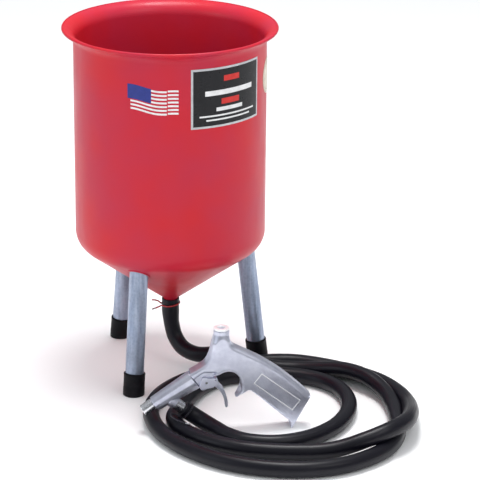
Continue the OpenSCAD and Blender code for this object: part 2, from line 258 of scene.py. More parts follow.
def arc(centre, radius, start, end, count):
    angles = [math.radians(start + (end - start) * i / count) for i in range(count + 1)]
    return [(centre[0] + radius * math.cos(a), centre[1] + radius * math.sin(a)) for a in angles]


def smoothLine(points, perSpan):
    # a flowing line through given points
    points = [Vector(p) for p in points]
    ends = [points[0] * 2 - points[1]] + points + [points[-1] * 2 - points[-2]]
    line = []
    for a, b, c, d in zip(ends, ends[1:], ends[2:], ends[3:]):
        for k in range(perSpan):
            t = k / perSpan
            line.append((b * 2 + (c - a) * t + (a * 2 - b * 5 + c * 4 - d) * t ** 2
                         + (b * 3 - a - c * 3 + d) * t ** 3) / 2)
    line.append(points[-1])
    return line


def sweptTube(name, line, radius, sides, bore=0):
    # a tube along a line in metres, with its own UV map: round it, and along it in metres
    mesh = bmesh.new()
    uv = mesh.loops.layers.uv.new("UVMap")
    rings = []
    lengths = []
    side = None
    travelled = 0
    for i, point in enumerate(line):
        ahead = line[min(i + 1, len(line) - 1)]
        behind = line[max(i - 1, 0)]
        along = (ahead - behind).normalized()
        side = along.orthogonal() if side is None else side - along * side.dot(along)
        side.normalize()
        across = along.cross(side)
        travelled += (point - behind).length if i else 0
        turns = [2 * math.pi * k / sides for k in range(sides)]
        spokes = [side * math.cos(a) + across * math.sin(a) for a in turns]
        rings.append([mesh.verts.new(point + spoke * radius) for spoke in spokes])
        lengths.append(travelled)
    if bore:
        for end, inward in ((0, 1), (-1, -1)):
            centre = line[end]
            step = (line[inward * 3 if end == 0 else end - 3] - centre)
            mouth = [mesh.verts.new(centre + (v.co - centre) * (bore / radius)) for v in rings[end]]
            deep = [mesh.verts.new(v.co + step) for v in mouth]
            rings.insert(0 if end == 0 else len(rings), mouth)
            rings.insert(0 if end == 0 else len(rings), deep)
            lengths.insert(0 if end == 0 else len(lengths), lengths[end])
            lengths.insert(0 if end == 0 else len(lengths), lengths[end])
    for i in range(len(rings) - 1):
        for k in range(sides):
            m = (k + 1) % sides
            face = mesh.faces.new((rings[i][k], rings[i][m], rings[i + 1][m], rings[i + 1][k]))
            places = ((k, i), (k + 1, i), (k + 1, i + 1), (k, i + 1))
            for loop, (u, v) in zip(face.loops, places):
                loop[uv].uv = (u / sides, lengths[v])
    mesh.faces.new(list(reversed(rings[0])))
    mesh.faces.new(rings[-1])
    bmesh.ops.recalc_face_normals(mesh, faces=mesh.faces)
    data = bpy.data.meshes.new(name)
    mesh.to_mesh(data)
    mesh.free()
    piece = bpy.data.objects.new(name, data)
    bpy.context.scene.collection.objects.link(piece)
    return piece


def blank(name, colour, roughness, metallic=0.0, **sockets):
    material = bpy.data.materials.new(name)
    material.use_nodes = True
    shader = material.node_tree.nodes["Principled BSDF"]
    shader.inputs["Base Color"].default_value = (*colour, 1)
    shader.inputs["Roughness"].default_value = roughness
    shader.inputs["Metallic"].default_value = metallic
    for name, value in sockets.items():
        shader.inputs[name.replace("_", " ")].default_value = value
    return material


def addNode(material, kind, inputs=(), **settings):
    # a node with its settings, and each input linked, coloured or set
    node = material.node_tree.nodes.new(kind)
    for name, value in settings.items():
        setattr(node, name, value)
    for name, value in dict(inputs).items():
        socket = node.inputs[name]
        if isinstance(value, bpy.types.NodeSocket):
            material.node_tree.links.new(value, socket)
        else:
            socket.default_value = (*value, 1) if socket.type == "RGBA" else value
    return node


def onObject(material, scale=(1, 1, 1), source="Object"):
    coords = addNode(material, "ShaderNodeTexCoord")
    inputs = {"Vector": coords.outputs[source], "Scale": scale}
    return addNode(material, "ShaderNodeMapping", inputs).outputs["Vector"]


def noise(material, vector, scale, detail=3.0, roughness=0.5):
    inputs = {"Vector": vector, "Scale": scale, "Detail": detail, "Roughness": roughness}
    return addNode(material, "ShaderNodeTexNoise", inputs).outputs["Fac"]


def spread(material, value, fromLow, fromHigh, low, high):
    inputs = {"Value": value, "From Min": fromLow, "From Max": fromHigh, "To Min": low, "To Max": high}
    return addNode(material, "ShaderNodeMapRange", inputs).outputs["Result"]


def mixed(material, amount, first, second, way="MIX"):
    inputs = {0: amount, 6: first, 7: second}
    return addNode(material, "ShaderNodeMix", inputs, data_type="RGBA", blend_type=way).outputs[2]


def blended(owner, amount, first, second):
    # a plain number between two others
    return addNode(owner, "ShaderNodeMix", {0: amount, 2: first, 3: second}, data_type="FLOAT").outputs[0]


def wire(material, value, socket):
    shader = material.node_tree.nodes["Principled BSDF"]
    material.node_tree.links.new(value, shader.inputs[socket])


def tinted(material, pattern, low, high, first, second):
    # the base colour goes from the first to the second as the pattern rises
    wire(material, mixed(material, spread(material, pattern, low, high, 0, 1), first, second), "Base Color")


def glossed(material, pattern, low, high):
    wire(material, spread(material, pattern, 0.3, 0.7, low, high), "Roughness")


def raised(material, height, distance, strength=1.0, under=None):
    inputs = {"Height": height, "Distance": distance, "Strength": strength}
    if under is not None:
        inputs["Normal"] = under
    return addNode(material, "ShaderNodeBump", inputs).outputs["Normal"]


def studioWhite():
    material = blank("studioWhite", (0.93, 0.93, 0.93), 0.6)
    glossed(material, noise(material, onObject(material), 2.0), 0.58, 0.64)
    return material


def hopperPlastic():
    # rotation-moulded red plastic: soft gloss, faint cloudiness, fine orange peel and rubbed patches
    material = blank("hopperPlastic", (0.55, 0.018, 0.03), 0.34, Specular_IOR_Level=0.28,
                     Subsurface_Weight=0.05, Subsurface_Radius=(0.006, 0.002, 0.002))
    place = onObject(material)
    cloud = noise(material, place, 9.0, 2.0)
    tinted(material, cloud, 0.35, 0.65, (0.55, 0.011, 0.022), (0.48, 0.017, 0.046))
    rubbed = noise(material, onObject(material, (30, 30, 9)), 1.0, 5.0, 0.6)
    wire(material, spread(material, rubbed, 0.3, 0.75, 0.30, 0.44), "Roughness")
    peel = raised(material, noise(material, place, 420.0, 1.0), 0.00012, 0.35)
    wavy = raised(material, noise(material, place, 28.0, 1.0), 0.0012, 0.25, peel)
    wire(material, wavy, "Normal")
    return material


def zincTube():
    # galvanised conduit: cloudy bluish zinc with drawn streaks, dull patches and fine rings
    material = blank("zincTube", (0.5, 0.55, 0.62), 0.4, 0.85)
    streak = noise(material, onObject(material, (150, 150, 5)), 1.0, 6.0, 0.65)
    patch = noise(material, onObject(material, (40, 40, 22)), 1.0, 4.0, 0.6)
    flakes = addNode(material, "ShaderNodeTexVoronoi", {"Vector": onObject(material), "Scale": 230.0})
    streaked = spread(material, streak, 0.3, 0.7, 0, 1)
    streakTone = mixed(material, streaked, (0.20, 0.25, 0.36), (0.44, 0.50, 0.62))
    patchTone = mixed(material, spread(material, patch, 0.35, 0.7, 0, 0.6), streakTone, (0.30, 0.34, 0.42))
    flaked = spread(material, flakes.outputs["Distance"], 0.0, 0.7, 0.2, 0.9)
    wire(material, mixed(material, 0.12, patchTone, flaked, "OVERLAY"), "Base Color")
    glossed(material, patch, 0.30, 0.52)
    drawn = {"Vector": onObject(material), "Scale": 160.0, "Distortion": 2.0, "Detail": 2.0}
    rings = addNode(material, "ShaderNodeTexWave", drawn, bands_direction="Z")
    low = raised(material, streak, 0.0003, 0.3)
    wire(material, raised(material, rings.outputs["Fac"], 0.00006, 0.3, low), "Normal")
    return material


def mouldedRubber():
    # matte black rubber with a dusty bloom
    material = blank("mouldedRubber", (0.005, 0.0045, 0.006), 0.5, Specular_IOR_Level=0.16)
    place = onObject(material)
    bloom = noise(material, place, 45.0, 5.0, 0.65)
    tinted(material, bloom, 0.45, 0.8, (0.003, 0.0028, 0.0045), (0.013, 0.012, 0.015))
    glossed(material, bloom, 0.42, 0.62)
    wire(material, raised(material, noise(material, place, 900.0, 2.0), 0.0001, 0.4), "Normal")
    return material


def hoseRubber():
    # black hose rubber: lengthwise mould lines, scuffs where it drags, a soft bluish sheen
    material = blank("hoseRubber", (0.005, 0.005, 0.009), 0.36, Specular_IOR_Level=0.3)
    lengthwise = onObject(material, (46, 1.2, 1), source="UV")
    lines = noise(material, lengthwise, 1.0, 4.0, 0.6)
    scuff = noise(material, onObject(material, (7, 9, 1), source="UV"), 1.0, 6.0, 0.7)
    tinted(material, scuff, 0.56, 0.72, (0.0035, 0.0032, 0.0075), (0.016, 0.015, 0.022))
    glossed(material, lines, 0.29, 0.46)
    fine = raised(material, noise(material, onObject(material), 700.0, 2.0), 0.00008, 0.35)
    wire(material, raised(material, lines, 0.0004, 0.35, fine), "Normal")
    return material


def castAluminium():
    # tumbled casting: bright, blurred, with soft pits and a slight cloud
    material = blank("castAluminium", (0.66, 0.68, 0.76), 0.34, 1.0)
    place = onObject(material)
    cloud = noise(material, place, 55.0, 4.0, 0.6)
    tinted(material, cloud, 0.3, 0.7, (0.58, 0.60, 0.72), (0.75, 0.77, 0.88))
    fine = noise(material, place, 1500.0, 3.0, 0.6)
    glossed(material, fine, 0.34, 0.48)
    pits = raised(material, fine, 0.00006, 0.5)
    wire(material, raised(material, noise(material, place, 260.0, 2.0), 0.00025, 0.3, pits), "Normal")
    return material


def turnedSteel():
    # bright turned steel with fine tool marks
    material = blank("turnedSteel", (0.78, 0.79, 0.82), 0.2, 1.0)
    place = onObject(material)
    marks = noise(material, onObject(material, (900, 900, 900)), 1.0, 2.0)
    glossed(material, marks, 0.14, 0.3)
    stain = noise(material, place, 60.0, 3.0)
    tinted(material, stain, 0.4, 0.7, (0.80, 0.81, 0.84), (0.62, 0.63, 0.67))
    wire(material, raised(material, marks, 0.00004, 0.4), "Normal")
    return material


def brightPlate():
    # pale satin nickel plate
    material = blank("brightPlate", (0.94, 0.94, 0.96), 0.35, 0.45)
    glossed(material, noise(material, onObject(material), 130.0, 3.0), 0.28, 0.42)
    return material


def clampPaint():
    # red paint on spring wire, worn through in spots
    material = blank("clampPaint", (0.42, 0.02, 0.02), 0.3, Coat_Weight=0.3)
    worn = noise(material, onObject(material), 240.0, 4.0, 0.6)
    tinted(material, worn, 0.66, 0.72, (0.42, 0.022, 0.025), (0.42, 0.38, 0.36))
    glossed(material, worn, 0.24, 0.4)
    wire(material, raised(material, worn, 0.00008, 0.4), "Normal")
    return material


def darkWire():
    # oiled spring wire, rubbed a little brighter in spots
    material = blank("darkWire", (0.03, 0.027, 0.035), 0.3, 0.3)
    rubbed = noise(material, onObject(material), 300.0, 4.0, 0.6)
    tinted(material, rubbed, 0.58, 0.72, (0.022, 0.02, 0.028), (0.12, 0.11, 0.14))
    glossed(material, rubbed, 0.22, 0.4)
    return material


def brassStock():
    material = blank("brassStock", (0.76, 0.56, 0.26), 0.25, 1.0)
    tone = noise(material, onObject(material), 220.0, 3.0)
    tinted(material, tone, 0.3, 0.7, (0.70, 0.50, 0.22), (0.82, 0.63, 0.32))
    glossed(material, tone, 0.28, 0.42)
    return material


def darkCarbide():
    material = blank("darkCarbide", (0.09, 0.09, 0.095), 0.45, 0.8)
    grit = noise(material, onObject(material), 900.0, 3.0)
    glossed(material, grit, 0.35, 0.6)
    wire(material, raised(material, grit, 0.00008, 0.5), "Normal")
    return material


def springSteel():
    material = blank("springSteel", (0.55, 0.56, 0.58), 0.3, 1.0)
    glossed(material, noise(material, onObject(material), 500.0, 3.0), 0.2, 0.4)
    return material


def seatPlastic():
    material = blank("seatPlastic", (0.78, 0.76, 0.70), 0.5)
    glossed(material, noise(material, onObject(material), 300.0, 3.0), 0.4, 0.55)
    return material


def printed(name, colour, roughness=0.38, metallic=0.0):
    # a printed film: even colour, faintly uneven gloss
    material = blank(name, colour, roughness, metallic, Specular_IOR_Level=0.25)
    place = onObject(material)
    haze = noise(material, place, 90.0, 4.0, 0.6)
    deeper = tuple(c * 0.82 for c in colour)
    tinted(material, haze, 0.35, 0.7, colour, deeper)
    glossed(material, haze, roughness - 0.06, roughness + 0.08)
    wire(material, raised(material, noise(material, place, 700.0, 1.0), 0.00003, 0.3), "Normal")
    return material


hose = {
    "outside": 25.4,
    "bore": 15.9,
    "sides": 32,
    "perSpan": 9,
    "stretch": 1.5,  # how much its end swells over the spout
    "swollen": 40,  # how far down from the top it is swollen
    "easing": 16,  # over which it goes back to its own size
    "pinch": 0.55,  # how deep the clamp presses in
    "pinchAt": 9.2,
    "pinchWide": 2.2,
    "route": [  # about the hopper's axis, in millimetres, from the spout to the gun
        (0, 0, 113.2), (0, 0, 88), (2, -2, 68), (8, -8, 48), (21, -21, 34), (42, -36, 29.5),
        (66, -46, 33), (92, -52, 38), (124, -56, 30), (160, -54, 16), (200, -55, 13),
        (240, -65, 17), (280, -84, 24), (315, -115, 25), (341, -152, 18), (353, -196, 13),
        (357, -240, 12.8), (358, -284, 12.8), (352, -326, 12.8), (337, -362, 12.8),
        (310, -394, 12.8), (272, -422, 12.8), (226, -438, 12.8), (176, -440, 12.8),
        (122, -428, 12.8), (70, -400, 12.8), (22, -354, 12.8), (-10, -300, 12.8),
        (-24, -240, 12.8), (-18, -184, 12.8), (4, -136, 12.8), (42, -92, 12.8), (92, -54, 12.8),
        (144, -30, 12.8), (196, -25, 12.8), (242, -38, 12.8), (290, -64, 12.8), (337, -103, 12.8),
        (365, -149, 13), (377, -192, 15), (379, -236, 23), (376, -280, 32), (366, -320, 38),
        (342, -352, 39), (304, -370, 30), (262, -377, 18), (222, -378, 12.8), (174, -378, 12.8),
        (124, -370, 12.8), (80, -350, 12.8), (44, -322, 12.8), (20, -288, 12.8), (12, -252, 12.8),
        (22, -212, 12.8), (34, -176, 12.8), (50, -140, 12.8), (74, -106, 12.8), (108, -86, 12.8),
        (152, -80, 12.8), (200, -84, 12.8), (242, -102, 12.8), (272, -136, 12.8), (285, -184, 12.8),
        (280, -236, 12.8), (258, -286, 12.8), (220, -326, 12.8), (172, -346, 12.8), (126, -341, 12.8),
        (94, -318, 12.8), (76, -294, 12.8), (58, -276, 16.5), (41, -269.5, 25), (26.9, -271.3, 36),
    ],
}
clampWire = {"thick": 1.2, "sides": 14, "steps": 60, "bareSpout": 6.2, "bareGun": 8.5}


def hopperLine(points, perSpan):
    return [hopperAxis + p for p in smoothLine([Vector(p) * mm for p in points], perSpan)]


def makeHose():
    line = hopperLine(hose["route"], hose["perSpan"])
    radius = hose["outside"] / 2 * mm
    for p in line:
        p.z = max(p.z, radius + 0.0001)
    piece = sweptTube("mediaHose", line, radius, hose["sides"], hose["bore"] / 2 * mm)
    top = line[0].z
    for vertex in piece.data.vertices:  # pushed over the spout, the end swells and pinches at the clamp
        away = vertex.co - Vector((line[0].x, line[0].y, vertex.co.z))
        depth = (top - vertex.co.z) / mm
        if depth < hose["swollen"] and away.length < 1.6 * radius:
            swell = hose["stretch"] * min(1.0, max(0.0, (hose["swollen"] - depth) / hose["easing"]))
            pinch = hose["pinch"] * math.exp(-((depth - hose["pinchAt"]) / hose["pinchWide"]) ** 2)
            vertex.co += away.normalized() * (swell - pinch) * mm
    smooth(piece, 50)
    finish(piece, hoseRubber(), "blaster", "hose_rubber", "media_hose")
    length = sum((b - a).length for a, b in zip(line, line[1:]))
    print("hose length", round(length, 3))
    return piece, line


def bentWire(name, line, material, bare, tip, bareLength):
    # painted wire, with bare metal up to a length from one tip
    piece = sweptTube(name, line, clampWire["thick"] * mm, clampWire["sides"])
    smooth(piece, 50)
    piece.data.materials.append(material)
    piece.data.materials.append(bare)
    for face in piece.data.polygons:
        if (face.center - tip).length < bareLength * mm:
            face.material_index = 1
    return piece


def makeSpoutClamp(material, bare):
    # a turn and a half of wire round the hose, with its two pinch ends out to the left
    reach = (hose["outside"] / 2 + hose["stretch"] + clampWire["thick"] - 0.6) * mm
    turns = []
    for i in range(clampWire["steps"] + 1):
        share = i / clampWire["steps"]
        a = math.radians(188 + 372 * share)
        height = 104 + 1.7 * math.cos(a) - 0.7 + 1.4 * share
        turns.append(Vector((reach * math.cos(a), reach * math.sin(a), height * mm)))
    upper = [(-15.6, -4.2, 105.4), (-18, -4.6, 107.6), (-21, -4.6, 109.6), (-25, -4.5, 110.6),
             (-30.5, -4.5, 111)]
    lower = [(-30, -5.5, 95), (-26.5, -5.2, 96), (-22.5, -4.8, 97.6), (-17.5, -4.6, 99.8)]
    front = [Vector(p) * mm for p in lower]
    back = [Vector(p) * mm for p in upper]
    line = smoothLine(front + turns[2:-2:3] + back, 5)
    piece = bentWire("spoutClamp", [hopperAxis + p for p in line], material, bare, hopperAxis + front[0],
                     clampWire["bareSpout"])
    return finish(piece, material, "blaster", "clamp_wire", "spout_clamp")


def makeGunClamp(material, bare):
    # the same wire at the gun: one end lies short, the long one hooks down over the turns
    reach = (hose["outside"] / 2 + clampWire["thick"]) * mm
    spigot = gunPlace @ spigotPlace
    turns = []
    for i in range(clampWire["steps"] + 1):
        share = i / clampWire["steps"]
        a = math.radians(150 - 350 * share)
        turns.append(spigot @ Vector((reach * math.cos(a), reach * math.sin(a), (21 + 2.4 * share) * mm)))
    tang = [(24, -283.6, 26.5), (17, -285.4, 31), (11, -286.6, 33.6), (8.4, -289, 33.2), (9.4, -292, 31),
            (14, -296.5, 29), (21, -302, 28), (30, -308, 27.7), (38, -313, 27.6)]
    tail = [hopperAxis + Vector(p) * mm for p in tang]
    line = smoothLine(turns[::3] + tail, 5)
    piece = bentWire("gunClamp", line, material, bare, tail[-1], clampWire["bareGun"])
    return finish(piece, material, "blaster", "dark_wire", "gun_clamp")


hopper = {
    "wallRadius": 152.5,
    "wall": 4.0,
    "top": 571.0,
    "flare": 18.0,
    "lip": 2.6,
    "slope": 36.2,
    "conePoint": 106.6,
    "shoulder": 34.0,
    "spoutRadius": 8.2,
    "spoutBore": 5.5,
    "spoutEnd": 73.0,
    "boss": 11.6,
    "bossHeight": 113.5,
    "bossFillet": 3.0,
    "sides": 144,
}
legs = {
    "radius": 14.75,
    "wall": 1.6,
    "circle": 144.5,
    "splay": 6.6,
    "turn": 7.5,
    "base": 4.5,
    "names": ("right", "rear", "front"),
    "footRadius": 17.3,
    "footHeight": 36.0,
    "pocket": 3.0,
    "pocketFrom": 120,
    "pocketTo": 320,
    "entersAt": 195,  # about how high a leg meets the cone
    "goesIn": 18,
}


def coneHeight(radius):
    return hopper["conePoint"] + math.tan(math.radians(hopper["slope"])) * radius


def legPlace(k):
    around = spun(legs["turn"] + 120 * k, "Z")
    return hopperPlace @ around @ shifted(legs["circle"], 0, 0) @ spun(-legs["splay"], "Y")


def legTop():
    splay = math.radians(legs["splay"])
    radius = legs["circle"] - math.tan(splay) * legs["entersAt"] + legs["radius"]
    return coneHeight(radius) / math.cos(splay) + legs["goesIn"]


def hopperProfile():
    h = hopper
    slope = h["slope"]
    rise = math.tan(math.radians(slope))
    wallR, wall, lip = h["wallRadius"], h["wall"], h["lip"]
    bend = h["shoulder"]
    bendAt = (wallR - bend, coneHeight(wallR) + bend * (1 / math.cos(math.radians(slope)) - rise))
    flareAt = (wallR + h["flare"], h["top"] - h["flare"] - wall - 0.6)
    lipAt = (wallR + h["flare"] - lip + 0.1, h["top"] - lip)
    bossAt = (h["boss"] + h["bossFillet"],
              coneHeight(h["boss"] + h["bossFillet"]) - h["bossFillet"] / math.cos(math.radians(slope)))
    inner = wall / math.cos(math.radians(slope))
    outside = [(h["spoutBore"], h["spoutEnd"]), (h["spoutRadius"] - 0.6, h["spoutEnd"]),
               (h["spoutRadius"], h["spoutEnd"] + 0.8), (h["spoutRadius"], h["bossHeight"]),
               (h["boss"] - 0.5, h["bossHeight"]), (h["boss"], h["bossHeight"] + 0.5)]
    outside += arc(bossAt, h["bossFillet"], 180, 90 + slope, 5)
    outside += [(r, coneHeight(r)) for r in (30, 50, 70, 90, 110)]
    outside += arc(bendAt, bend, -90 + slope, 0, 9)
    outside += [(wallR, z) for z in (270, 330, 390, 450, 510)]
    outside += arc(flareAt, h["flare"], 180, 104, 9)
    outside += arc(lipAt, lip, -70, 100, 9)
    inside = arc(flareAt, h["flare"] + wall, 99, 180, 9)
    inside += [(wallR - wall, z) for z in (510, 450, 390, 330, 270)]
    inside += arc(bendAt, bend - wall, 0, -90 + slope, 8)
    inside += [(r, coneHeight(r) + inner) for r in (110, 90, 70, 50, 30, 15)]
    inside += [(h["spoutBore"], coneHeight(h["spoutBore"]) + inner), (h["spoutBore"], h["spoutEnd"])]
    return outside + inside


def makeHopper(material):
    piece = turned("hopperShell", hopperProfile(), hopper["sides"], hollow=True)
    settle(piece, hopperPlace)
    top = legTop()
    pocketRadius = legs["radius"] + legs["pocket"]
    domed = arc((pocketRadius - 6, top - 3), 6, 0, 90, 5)
    collar = 1.8  # how far a pocket's mouth stands out of the cone
    low, high = legs["pocketFrom"], legs["pocketTo"]
    beyond = hopper["wallRadius"] + 2
    for k in range(3):
        pocket = turned("pocket", [(pocketRadius, low)] + domed, 64)
        settle(pocket, legPlace(k))
        bound = [(r, coneHeight(r) - collar) for r in (30, beyond)]
        within = turned("within", bound + [(beyond, high), (30, high)], 144)
        merged(pocket, settle(within, hopperPlace), "INTERSECT")
        merged(piece, pocket, "UNION")
        merged(piece, drum("legHole", legs["radius"] + 0.05, low, top, legPlace(k), 64), "DIFFERENCE")
    smooth(piece, 40)
    return finish(piece, material, "blaster", "hopper_plastic", "hopper")


def makeLeg(k, material):
    top = legTop()
    r, wall, base = legs["radius"], legs["wall"], legs["base"]
    profile = [(r - wall, base), (r - 0.5, base), (r, base + 0.5), (r, 60), (r, 120), (r, 180)]
    profile += [(r, top - 0.6), (r - 0.5, top - 0.1), (r - wall, top - 0.1), (r - wall, base)]
    piece = turned("leg" + legs["names"][k].capitalize(), profile, 56, hollow=True)
    settle(piece, legPlace(k))
    smooth(piece, 40)
    return finish(piece, material, "blaster", "zinc_tube", "leg_" + legs["names"][k])


def makeFoot(k, material):
    # a pushed-on tip: rolled bottom edge, a slight lip at the mouth, a faint mould step
    r, h, leg = legs["footRadius"], legs["footHeight"], legs["radius"]
    outside = [(3, -3.6), (r - 3.4, -3.6)] + arc((r - 3.4, 0.6), 3.4, -60, 0, 5)
    outside += [(r, 12), (r - 0.25, 12.6), (r - 0.25, h - 4), (r, h - 3), (r - 0.1, h - 1.2)]
    outside += [(r - 0.9, h - 0.2)]
    outside += [(leg + 0.5, h), (leg + 0.02, h - 0.6), (leg + 0.02, legs["base"]), (3, legs["base"])]
    piece = turned("foot" + legs["names"][k].capitalize(), outside, 56)
    settle(piece, legPlace(k))
    pick(piece)
    startEdit()
    bpy.ops.mesh.bisect(plane_co=(0, 0, 0.0), plane_no=(0, 0, 1), use_fill=True, clear_inner=True)
    bpy.ops.object.mode_set(mode="OBJECT")
    eased(piece, 0.9, 3, 30)
    smooth(piece, 40)
    return finish(piece, material, "blaster", "foot_rubber", "foot_" + legs["names"][k])


labels = {
    "skin": 0.55,  # thickness of the plate
    "plate": {"turn": 38.6, "wide": 133.0, "low": 446.0, "high": 541.0, "edge": 3.4},
    "decal": {"turn": -23.6, "high": 516.0, "long": 81,
              "wave": 1.6, "waves": 1.15, "start": 0.6, "fall": 0.10},
    "round": {"turn": 84.0, "height": 497.0, "radius": 29.0},
}


def wallPoint(turn, height, lift):
    # turn is in degrees from the front of the wall towards the right
    a = math.radians(turn - 90)
    radius = (hopper["wallRadius"] + lift) * mm
    return hopperAxis + Vector((radius * math.cos(a), radius * math.sin(a), height * mm))


def degreesFor(width):
    return math.degrees(width / hopper["wallRadius"])


def wallStrip(name, columns, lift, thick, material):
    # a strip laid round the wall; each column is (turn, low, high)
    deselectAll()
    bpy.ops.mesh.primitive_grid_add(x_subdivisions=len(columns) - 1, y_subdivisions=1, size=2)
    piece = bpy.context.object
    piece.name = name
    for vertex in piece.data.vertices:
        turn, low, high = columns[round((vertex.co.x + 1) / 2 * (len(columns) - 1))]
        vertex.co = wallPoint(turn, low if vertex.co.y < 0 else high, lift + thick)
    startEdit()
    endEdit()
    middle = piece.data.polygons[len(piece.data.polygons) // 2]
    if middle.normal.dot(middle.center - hopperAxis) < 0:
        piece.data.flip_normals()
    applied(piece, "SOLIDIFY", thickness=thick * mm, offset=-1)
    piece.data.materials.append(material)
    return piece


def straightStrip(name, turn, wide, low, high, lift, thick, material):
    steps = max(2, round(wide / 4))
    half = degreesFor(wide) / 2
    columns = [(turn - half + 2 * half * i / steps, low, high) for i in range(steps + 1)]
    return wallStrip(name, columns, lift, thick, material)


def joined(name, pieces):
    pick(*pieces)
    bpy.ops.object.join()
    pieces[0].name = name
    return pieces[0]


def makeNameplate(black, silver, red, white):
    # a foil plate with a silver border and plain printed bars where the lettering would be
    p = labels["plate"]
    top = p["high"]
    skin = labels["skin"]
    parts = [straightStrip("plateFoil", p["turn"], p["wide"], p["low"], top, 0.0, skin, silver),
             straightStrip("plateField", p["turn"], p["wide"] - 2 * p["edge"], p["low"] + p["edge"],
                           top - p["edge"], skin, 0.1, black)]
    bars = [  # drop from the top edge, height, width, material, shift to the right
        (14, 9, 30, red, 3), (36, 8, 92, white, 2), (50, 9, 34, red, 1), (63.5, 6, 50, white, 0),
        (75, 2.6, 106, white, 0), (81.5, 2.6, 84, white, 0),
    ]
    for drop, tall, wide, ink, shift in bars:
        turn = p["turn"] + degreesFor(shift)
        low, high = top - drop - tall, top - drop
        parts.append(straightStrip("plateBar", turn, wide, low, high, skin + 0.1, 0.06, ink))
    piece = joined("nameplate", parts)
    return finish(piece, black, "blaster", "nameplate_film", "nameplate")


def makeDecal(blue, white):
    # a plain waving pennant: a blue field and white bands
    d = labels["decal"]
    parts = []

    def wave(x):
        swing = math.sin(x / d["long"] * 2 * math.pi * d["waves"] + d["start"])
        return d["wave"] * swing - x * d["fall"]

    def band(x0, x1, top, tall, ink, lift):
        steps = max(3, round((x1 - x0) / 3))
        columns = []
        for i in range(steps + 1):
            x = x0 + (x1 - x0) * i / steps
            high = d["high"] + wave(x) - top
            columns.append((d["turn"] + degreesFor(x), high - tall, high))
        return wallStrip("band", columns, lift, 0.12, ink)

    parts.append(band(0, 38, 0, 23, blue, 0.05))
    for i in range(7):
        top = 1.2 + i * 5.9
        start = 38 if top < 22 else 5
        if top < 37:
            parts.append(band(start, 62, top, 2.9, white, 0.05))
        parts.append(band(63.5, 80, top - 1.2, 2.9, white, 0.05))
    piece = joined("sideDecal", parts)
    return finish(piece, blue, "blaster", "decal_film", "side_decal")


def makeRoundLabel(cream, ink):
    # a round film label with a thin printed ring
    spec = labels["round"]
    deselectAll()
    bpy.ops.mesh.primitive_circle_add(vertices=72, radius=spec["radius"], fill_type="NGON")
    piece = bpy.context.object
    piece.name = "roundLabel"
    startEdit()
    for step in (1.6, 1.0, 3.0, 1.0, 4.0, 4.0, 4.0, 4.0):
        bpy.ops.mesh.inset(thickness=step)
    bpy.ops.object.mode_set(mode="OBJECT")
    for face in piece.data.polygons:
        fromEdge = spec["radius"] - face.center.length
        if 1.6 < fromEdge < 2.6 or 5.6 < fromEdge < 6.6:
            face.material_index = 1
    for vertex in piece.data.vertices:
        turn = spec["turn"] + degreesFor(vertex.co.x)
        vertex.co = wallPoint(turn, spec["height"] + vertex.co.y, labels["skin"])
    if piece.data.polygons[-1].normal.dot(piece.data.polygons[-1].center - hopperAxis) < 0:
        piece.data.flip_normals()
    piece.data.materials.append(cream)
    piece.data.materials.append(ink)
    applied(piece, "SOLIDIFY", thickness=labels["skin"] * mm, offset=-1)
    smooth(piece, 30)
    return finish(piece, cream, "blaster", "label_film", "round_label")


gun = {
    "half": 14.0,
    "jointAt": 12.8,
    "muzzleAt": 85.8,
    "boreAt": 16.8,
    "seam": 0.9,
    "nozzleReach": 20.5,
    "nozzleRadius": 9.25,
    "stemFoot": (-36.2, 0, 9.2),
    "spigotAt": (58.6, 0, -4.2),
    "spigotLean": 14.5,
    "slotHalf": 3.2,
    "lugHalf": 11.0,
    "neckRound": 4.5,
    "backRound": 7.0,
    "frontRound": 2.4,
    "rimRound": 2.0,
    "gripWall": 3.6,
    "muzzleShare": (0.85, 0.735),  # the muzzle's width and height as shares of the back's
    "voxel": 0.75,
}
valvePlace = shifted(*gun["stemFoot"]) @ Matrix.Rotation(-gunTilt, 4, "Y")
spigotPlace = shifted(*gun["spigotAt"]) @ spun(180 + gun["spigotLean"], "Y")


def alongBarrel(x):
    return shifted(x, 0, gun["boreAt"]) @ spun(90, "Y")


def acrossGun(x, z):
    return shifted(x, 0, z) @ spun(90, "X")


def drum(name, radius, low, high, place, sides=48):
    return settle(turned(name, [(radius, low), (radius, high)], sides), place)


def flat(points, perSpan):
    return [(p.x, p.z) for p in smoothLine([(x, 0, z) for x, z in points], perSpan)]


def inset(line, depth):
    # a line moved sideways, to its left as it runs
    moved = []
    for i, (x, z) in enumerate(line):
        before, after = line[max(i - 1, 0)], line[min(i + 1, len(line) - 1)]
        along = Vector((after[0] - before[0], after[1] - before[1])).normalized()
        moved.append((x - along.y * depth, z + along.x * depth))
    return moved


def roundedRail(line, radius, depth):
    # a bar along each side of a line, which gives the plate between them a round edge
    rails = []
    for side in (-1, 1):
        points = [Vector((x, side * depth, z)) * mm for x, z in inset(line, radius)]
        rails.append(sweptTube("rail", points, radius * mm, 20))
    return rails


